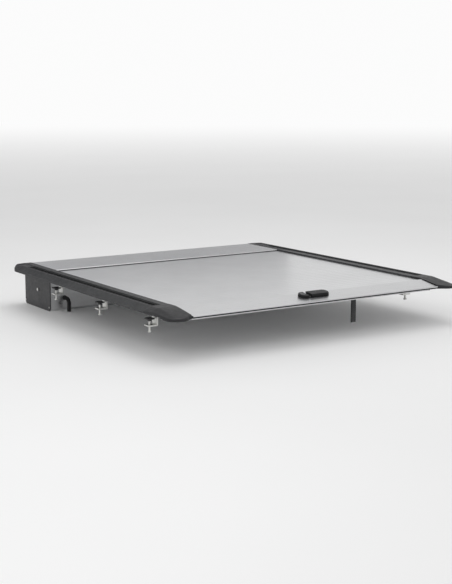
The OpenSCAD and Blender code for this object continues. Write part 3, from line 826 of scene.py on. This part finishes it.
def strip_along_x(outline, centre, x0, x1):
    """Solid strip of this outline (y, z in millimetres) between two places on X."""
    y, z = centre
    stations = [x0 + (x1 - x0) * k / SEAL_STEPS for k in range(SEAL_STEPS + 1)]
    return loft([[Vector((x, y + a * MM, z + b * MM)) for a, b in outline] for x in stations])


def bulb_along_x(outer, inner, centre, x0, x1):
    """Hollow rubber bulb between two places on X."""
    path = [Vector((x0 + (x1 - x0) * k / SEAL_STEPS, *centre)) for k in range(SEAL_STEPS + 1)]
    return tube(path, outer * MM, inner * MM, 32, side=Vector((0, 1, 0)))


def tailgate_seal():
    """Bulb that rests on the tailgate, with the fin that holds it in the end bar."""
    low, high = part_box("tailgate_seal")
    bulb_r, fin_w, fin_t = 3.2, 14.4, 2.1
    y, z = LIP_Y + 8 * MM, low.z + bulb_r * MM
    fin_outline = rounded_box_outline(fin_w, fin_t, 0.9)
    fin = strip_along_x(fin_outline, (y + 1.75 * MM, high.z - 1.1 * MM), low.x, high.x)
    bulb = bulb_along_x(bulb_r, 1.9, (y, z), low.x, high.x)
    add_piece("tailgate_bulb", *joined(fin, bulb), "end_bar", "seal_rubber", ["tailgate_seal"])


def mouth_seal():
    """Wiper with a thin lip on the curtain."""
    low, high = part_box("mouth_seal")
    depth, rise = (high.y - low.y) / MM, (high.z - low.z) / MM
    lip = [(0, 0.2), (0.2, 0), (0.9, 0), (1.1, 0.2)]
    throat = arc_points((2.3, 0.2), 1.2, 180, 90, 5)
    outline = [(depth, rise), (0.3, rise), (0, rise - 0.3)] + lip + throat + [(depth, 1.4)]
    wiper = strip_along_x(outline, (low.y, low.z), low.x, high.x)
    add_piece("mouth_wiper", *wiper, "frame", "seal_rubber", ["mouth_seal"])


def bulkhead_seal():
    """Bulb against the truck's bulkhead, on a flat foot."""
    low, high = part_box("bulkhead_seal")
    bulb_r = 2.7
    middle_y = (low.y + high.y) / 2
    bulb = bulb_along_x(bulb_r, 1.5, (middle_y, high.z - bulb_r * MM), low.x, high.x)
    rise = (high.z - low.z) / MM - bulb_r
    foot_outline = rounded_box_outline(5.3, rise, 0.6)
    foot = strip_along_x(foot_outline, (middle_y, low.z + rise / 2 * MM), low.x, high.x)
    add_piece("bulkhead_bulb", *joined(foot, bulb), "frame", "seal_rubber", ["bulkhead_seal"])


def rail_foam():
    """Foam strip under each rail, squeezed a little unevenly."""
    low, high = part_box("rail_seals")
    width, thick, squeeze, steps = 11, 1.7, 0.03, 80
    outline = rounded_box_outline(width, thick, 0.75)
    middle_z = (low.z + high.z) / 2
    strips = []
    for sign in (-1, 1):
        centre_x = sign * (high.x - width / 2 * MM)
        rings = []
        for k in range(steps + 1):
            y = low.y + (high.y - low.y) * k / steps
            swell = 1 - squeeze * (1 + math.sin(k * 2.4) * math.cos(k * 0.9)) / 2
            rings.append([Vector((centre_x + a * swell * MM, y, middle_z + b * MM)) for a, b in outline])
        strips.append(loft(rings))
    add_piece("rail_foam", *joined(*strips), "frame", "seal_rubber", ["rail_seals"])


tailgate_seal()
mouth_seal()
bulkhead_seal()
rail_foam()


# ---------------------------------------------------------------- webbing

ACROSS = Vector((1, 0, 0))
STITCH_LENGTH = 3.2 * MM
STITCH_WIDTH = 0.9 * MM
STITCH_PITCH = 4.2 * MM
HEM_R = 0.6 * MM


def stitch(at, ahead, above):
    """One raised stitch lying on the webbing."""
    side = ahead.cross(above)
    across, height = STITCH_WIDTH / 2, STITCH_WIDTH / 3
    rings = []
    for t, swell in ((-1, 0.35), (-0.6, 0.9), (0, 1), (0.6, 0.9), (1, 0.35)):
        middle = at + ahead * (t * STITCH_LENGTH / 2)
        rings.append([middle + side * (a * swell * across) + above * (b * swell * height)
                      for a, b in circle(1, 8)])
    return loft(rings)


def stitched_box(corner, ahead, above, length, width):
    """Stitches round a rectangle and along its diagonals."""
    side = ahead.cross(above)
    a, b = corner, corner + ahead * length
    c, d = b + side * width, a + side * width
    made = []
    for start, end in ((a, b), (b, c), (c, d), (d, a), (a, c), (b, d)):
        run = end - start
        count = int(run.length / STITCH_PITCH)
        made += [stitch(start + run * ((k + 0.5) / count), run.normalized(), above) for k in range(count)]
    return made


def spool_path(low, high, gap):
    """Middle line of a strap: from the last slat down to the spool, then part of the way round it."""
    axle_low, axle_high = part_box("spool_axle")
    tube_low, tube_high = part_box("spool_tube")
    centre = (axle_low + axle_high) / 2
    radius = (tube_high.z - tube_low.z) / 2 + gap
    start = Vector((0, low.y + 0.2 * MM, high.z - 1.1 * MM))
    to_start = Vector((start.y - centre.y, start.z - centre.z))
    touch = math.degrees(math.atan2(to_start.y, to_start.x) - math.acos(radius / to_start.length))
    wrap = [Vector((0, y, z)) for y, z in arc_points((centre.y, centre.z), radius, touch, touch - 108, 36)]
    return [start + (wrap[0] - start) * (k / 16) for k in range(16)], wrap


def curtain_straps():
    """Three straps from the last slat to the spool, sewn at the slat."""
    low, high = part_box("curtain_straps")
    thick, width = 1.7 * MM, 40 * MM
    sewn_length, sewn_width = 26 * MM, 30 * MM
    run, wrap = spool_path(low, high, 1.2 * MM)
    ahead = (wrap[0] - run[0]).normalized()
    above = ACROSS.cross(ahead)
    if above.z < 0:
        above.negate()
    strips = []
    for x in [m * (high.x - width / 2) for m in (-1, 0, 1)]:
        shift = Vector((x, 0, 0))
        path = [point + shift for point in run + wrap]
        strips.append(loft(sweep(path, rounded_box_outline(width, thick, HEM_R), side=ACROSS)))
        corner = run[0] + shift + ahead * 6 * MM + above * thick / 2
        corner -= ahead.cross(above) * sewn_width / 2
        strips += stitched_box(corner, ahead, above, sewn_length, sewn_width)
    add_piece("spool_straps", *joined(*strips), "frame", "webbing", ["curtain_straps"])


def pull_strap():
    """Loop of webbing under the end bar, to pull the cover shut by."""
    low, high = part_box("pull_strap")
    middle_x, width = (low.x + high.x) / 2, high.x - low.x
    thick, hem, steps = 1.8 * MM, 4 * MM, 14
    leg = (high.y - low.y - thick) / 2
    centre_y, turn_z = (low.y + high.y) / 2, low.z + leg + thick
    fall = turn_z - high.z
    path = [(centre_y - leg, high.z + fall * k / steps) for k in range(steps)]
    path += arc_points((centre_y, turn_z), leg, 180, 360, steps)
    path += [(centre_y + leg, turn_z - fall * k / steps) for k in range(1, steps + 1)]
    bowed = [Vector((middle_x, y + 0.25 * MM * math.sin(9 * (z - high.z) / fall), z)) for y, z in path]
    strip = loft(sweep(bowed, rounded_box_outline(width, thick, HEM_R), side=ACROSS))
    corner = Vector((high.x - hem, centre_y - leg - thick / 2, high.z - 2 * hem))
    sewn = stitched_box(corner, Vector((0, 0, -1)), Vector((0, -1, 0)), 18 * MM, width - 2 * hem)
    add_piece("pull_loop", *joined(strip, *sewn), "end_bar", "webbing", ["pull_strap"])


curtain_straps()
pull_strap()


# ---------------------------------------------------------------- hoses and springs

def drain_hoses():
    """Ribbed hoses that leave the spouts level, turn down and end above the bed floor."""
    low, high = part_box("drain_hoses")
    outer, inner, bend = 10 * MM, 8.05 * MM, 24 * MM
    rib_gap, groove_gap, plain_ends = 0.05 * MM, 0.55 * MM, 3
    level = high.z - outer
    drop = low.z - level + bend
    both = []
    for sign in (-1, 1):
        x = sign * (high.x - outer)
        fall_y = low.y + outer
        turn_y = fall_y + bend
        path = [(high.y + (turn_y - high.y) * k / 16, level) for k in range(16)]
        path += arc_points((turn_y, level - bend), bend, 90, 180, 30)
        path += [(fall_y, level - bend + drop * k / 30) for k in range(1, 31)]
        path = [Vector((x, y, z)) for y, z in path]
        out_rings = []
        for k, ring in enumerate(sweep(path, circle(1, 32), side=ACROSS)):
            groove = k % 3 == 1 and plain_ends < k < len(path) - plain_ends
            radius = outer - (groove_gap if groove else rib_gap)
            out_rings.append([path[k] + (point - path[k]) * radius for point in ring])
        in_rings = sweep(path, circle(inner, 32), side=ACROSS)
        both.append(loft(out_rings + in_rings[::-1] + out_rings[:1], close_ends=False))
    add_piece("drain_tubes", *joined(*both), "frame", "seal_rubber", ["drain_hoses"])


def coil_path(x0, x1, centre, radius, turns, steps=30):
    """Compression coil about the X direction, its end turns wound close."""
    count = turns * steps
    path = []
    for k in range(count + 1):
        t = k / count
        advance = t - 0.07 * math.sin(math.tau * t)
        a = math.tau * turns * t
        y, z = centre.y + radius * math.cos(a), centre.z + radius * math.sin(a)
        path.append(Vector((x0 + (x1 - x0) * advance, y, z)))
    return path


def latch_spring(sign, side):
    """Coil from the rod guide to the bolt's collar, built at one fixed length."""
    far_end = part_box("latch_springs")[1].x
    rod_low, rod_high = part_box(f"latch_bolt_{side}")
    wire, length, stroke = 0.9 * MM, 38 * MM, 11.6 * MM
    coil_r, turns = 6.2 * MM, 7
    guide_end = sign * (far_end - length)
    x0, x1 = guide_end + sign * wire, sign * (far_end - wire)
    path = coil_path(x0, x1, (rod_low + rod_high) / 2, coil_r, turns)
    coil = loft(sweep(path, circle(wire, 10), up=ACROSS))
    spring = add_piece(f"bolt_spring_{side}", *coil, "end_bar", "spring_steel", ["latch_springs"])
    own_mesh(spring)


def return_spring():
    """Flat spiral spring between the fixed axle and the drum."""
    low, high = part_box("return_spring")
    centre, outer = (low + high) / 2, (high.z - low.z) / 2 - 0.5 * MM
    inner, turns, steps = 8.7 * MM, 4, 40
    path = []
    for k in range(turns * steps + 1):
        t = k / (turns * steps)
        r, a = inner + (outer - inner) * t, math.tau * turns * t
        path.append(Vector((centre.x, centre.y + r * math.cos(a), centre.z + r * math.sin(a))))
    strip = rounded_box_outline(high.x - low.x, 0.7 * MM, 0.3 * MM, 2)
    spiral = loft(sweep(path, strip, side=ACROSS))
    add_piece("clock_spring", *spiral, "frame", "spring_steel", ["return_spring"])


drain_hoses()
latch_spring(1, "right")
latch_spring(-1, "left")
return_spring()


# ---------------------------------------------------------------- studio

# Brightness of the sky at the horizon and overhead, and the heights (0 level, 1 straight up) between them
HORIZON_LIGHT = 0.97
ZENITH_LIGHT = 0.6
SKY_FADE = (0.3, 0.7)

# Floor: half its width, and the distances over which it fades into the horizon
FLOOR_REACH = 200
FLOOR_FADE = (3, 25)

CAMERA_PLACE = (-3.317, -5.931, 0.989)
CAMERA_LENS = 76
CURTAIN_MIDDLE = Vector((0, -0.8, 0))


def aimed(thing, at, target):
    thing.location = at
    thing.rotation_euler = (Vector(target) - thing.location).to_track_quat("-Z", "Y").to_euler()


def area_lamp(name, at, size, power):
    """Square lamp that looks at the middle of the curtain."""
    lamp = bpy.data.lights.new(name, "AREA")
    lamp.shape = "RECTANGLE"
    lamp.size = lamp.size_y = size
    lamp.energy = power
    aimed(add_object(name, lamp), at, CURTAIN_MIDDLE)


def soft_sky():
    """White at the horizon, a little darker overhead, so that level metal reads brighter than the slope."""
    world = bpy.data.worlds.new("studio")
    world.use_nodes = True
    tree = world.node_tree
    sky = tree.nodes["Background"]
    sky.inputs["Color"].default_value = (1, 1, 1, 1)
    place = tree.nodes.new("ShaderNodeTexCoord")
    split = tree.nodes.new("ShaderNodeSeparateXYZ")
    tree.links.new(place.outputs["Generated"], split.inputs["Vector"])
    light = map_range(tree, split.outputs["Z"], SKY_FADE, (HORIZON_LIGHT, ZENITH_LIGHT), "SMOOTHSTEP")
    tree.links.new(light, sky.inputs["Strength"])
    bpy.context.scene.world = world


def floor_paint():
    """Pale paint that fades into the sky far away and is clear from beneath, to show the underside."""
    paint = Shader("floor_paint", (0.93, 0.93, 0.93), 0.7)
    paint.vary_colour(paint.noise(0.8, 2), 0.99, 1.01)
    distance = paint.node("ShaderNodeVectorMath", operation="LENGTH")
    paint.link(paint.place, distance.inputs[0])
    far = map_range(paint.tree, distance.outputs["Value"], FLOOR_FADE, (0, 1), "SMOOTHSTEP")
    haze = paint.node("ShaderNodeEmission")
    haze.inputs["Color"].default_value = (1, 1, 1, 1)
    haze.inputs["Strength"].default_value = HORIZON_LIGHT
    clear = paint.node("ShaderNodeBsdfTransparent")
    side = paint.node("ShaderNodeNewGeometry")
    upper = paint.blend(far, paint.bsdf.outputs["BSDF"], haze.outputs["Emission"])
    both = paint.blend(side.outputs["Backfacing"], upper, clear.outputs["BSDF"])
    paint.link(both, paint.tree.nodes["Material Output"].inputs["Surface"])
    return paint.material


def stage_sheet(name, corners, material):
    """One flat sheet that isn't part of the object."""
    mesh = bpy.data.meshes.new(name)
    mesh.from_pydata(corners, [], [(0, 1, 2, 3)])
    sheet = add_object(name, mesh)
    sheet.data.materials.append(material)
    return sheet


def floor():
    z, reach = CAD_BOX[0][2], FLOOR_REACH
    corners = [(-reach, -reach, z), (reach, -reach, z), (reach, reach, z), (-reach, reach, z)]
    stage_sheet("floor", corners, floor_paint())


def soft_card():
    """Grey card beyond the canister, seen only in reflections, that shades the curtain towards the cab."""
    y, half, low, high = 0.16, 1.1, 0.04, 0.42
    grey = Shader("card_grey", (0.62, 0.62, 0.63), 0.9)
    grey.vary_colour(grey.noise(3, 2), 0.95, 1.05)
    corners = [(-half, y, low), (half, y, low), (half, y, high), (-half, y, high)]
    card = stage_sheet("soft_card", corners, grey.material)
    card.visible_camera = False
    card.visible_diffuse = False
    card.visible_shadow = False


def photo_camera():
    """Stands where the photograph was taken from and looks at the cover's middle."""
    camera = bpy.data.cameras.new("photo_view")
    camera.sensor_width = 36
    camera.lens = CAMERA_LENS
    holder = add_object("photo_view", camera)
    aimed(holder, CAMERA_PLACE, (Vector(CAD_BOX[0]) + Vector(CAD_BOX[1])) / 2)
    bpy.context.scene.camera = holder


def studio():
    bpy.context.scene.view_settings.view_transform = "Standard"
    soft_sky()
    floor()
    soft_card()
    area_lamp("overhead", (0.5, -0.8, 3.6), 3, 28)
    area_lamp("key", (-3.2, -3.4, 2.6), 2, 30)


studio()
photo_camera()
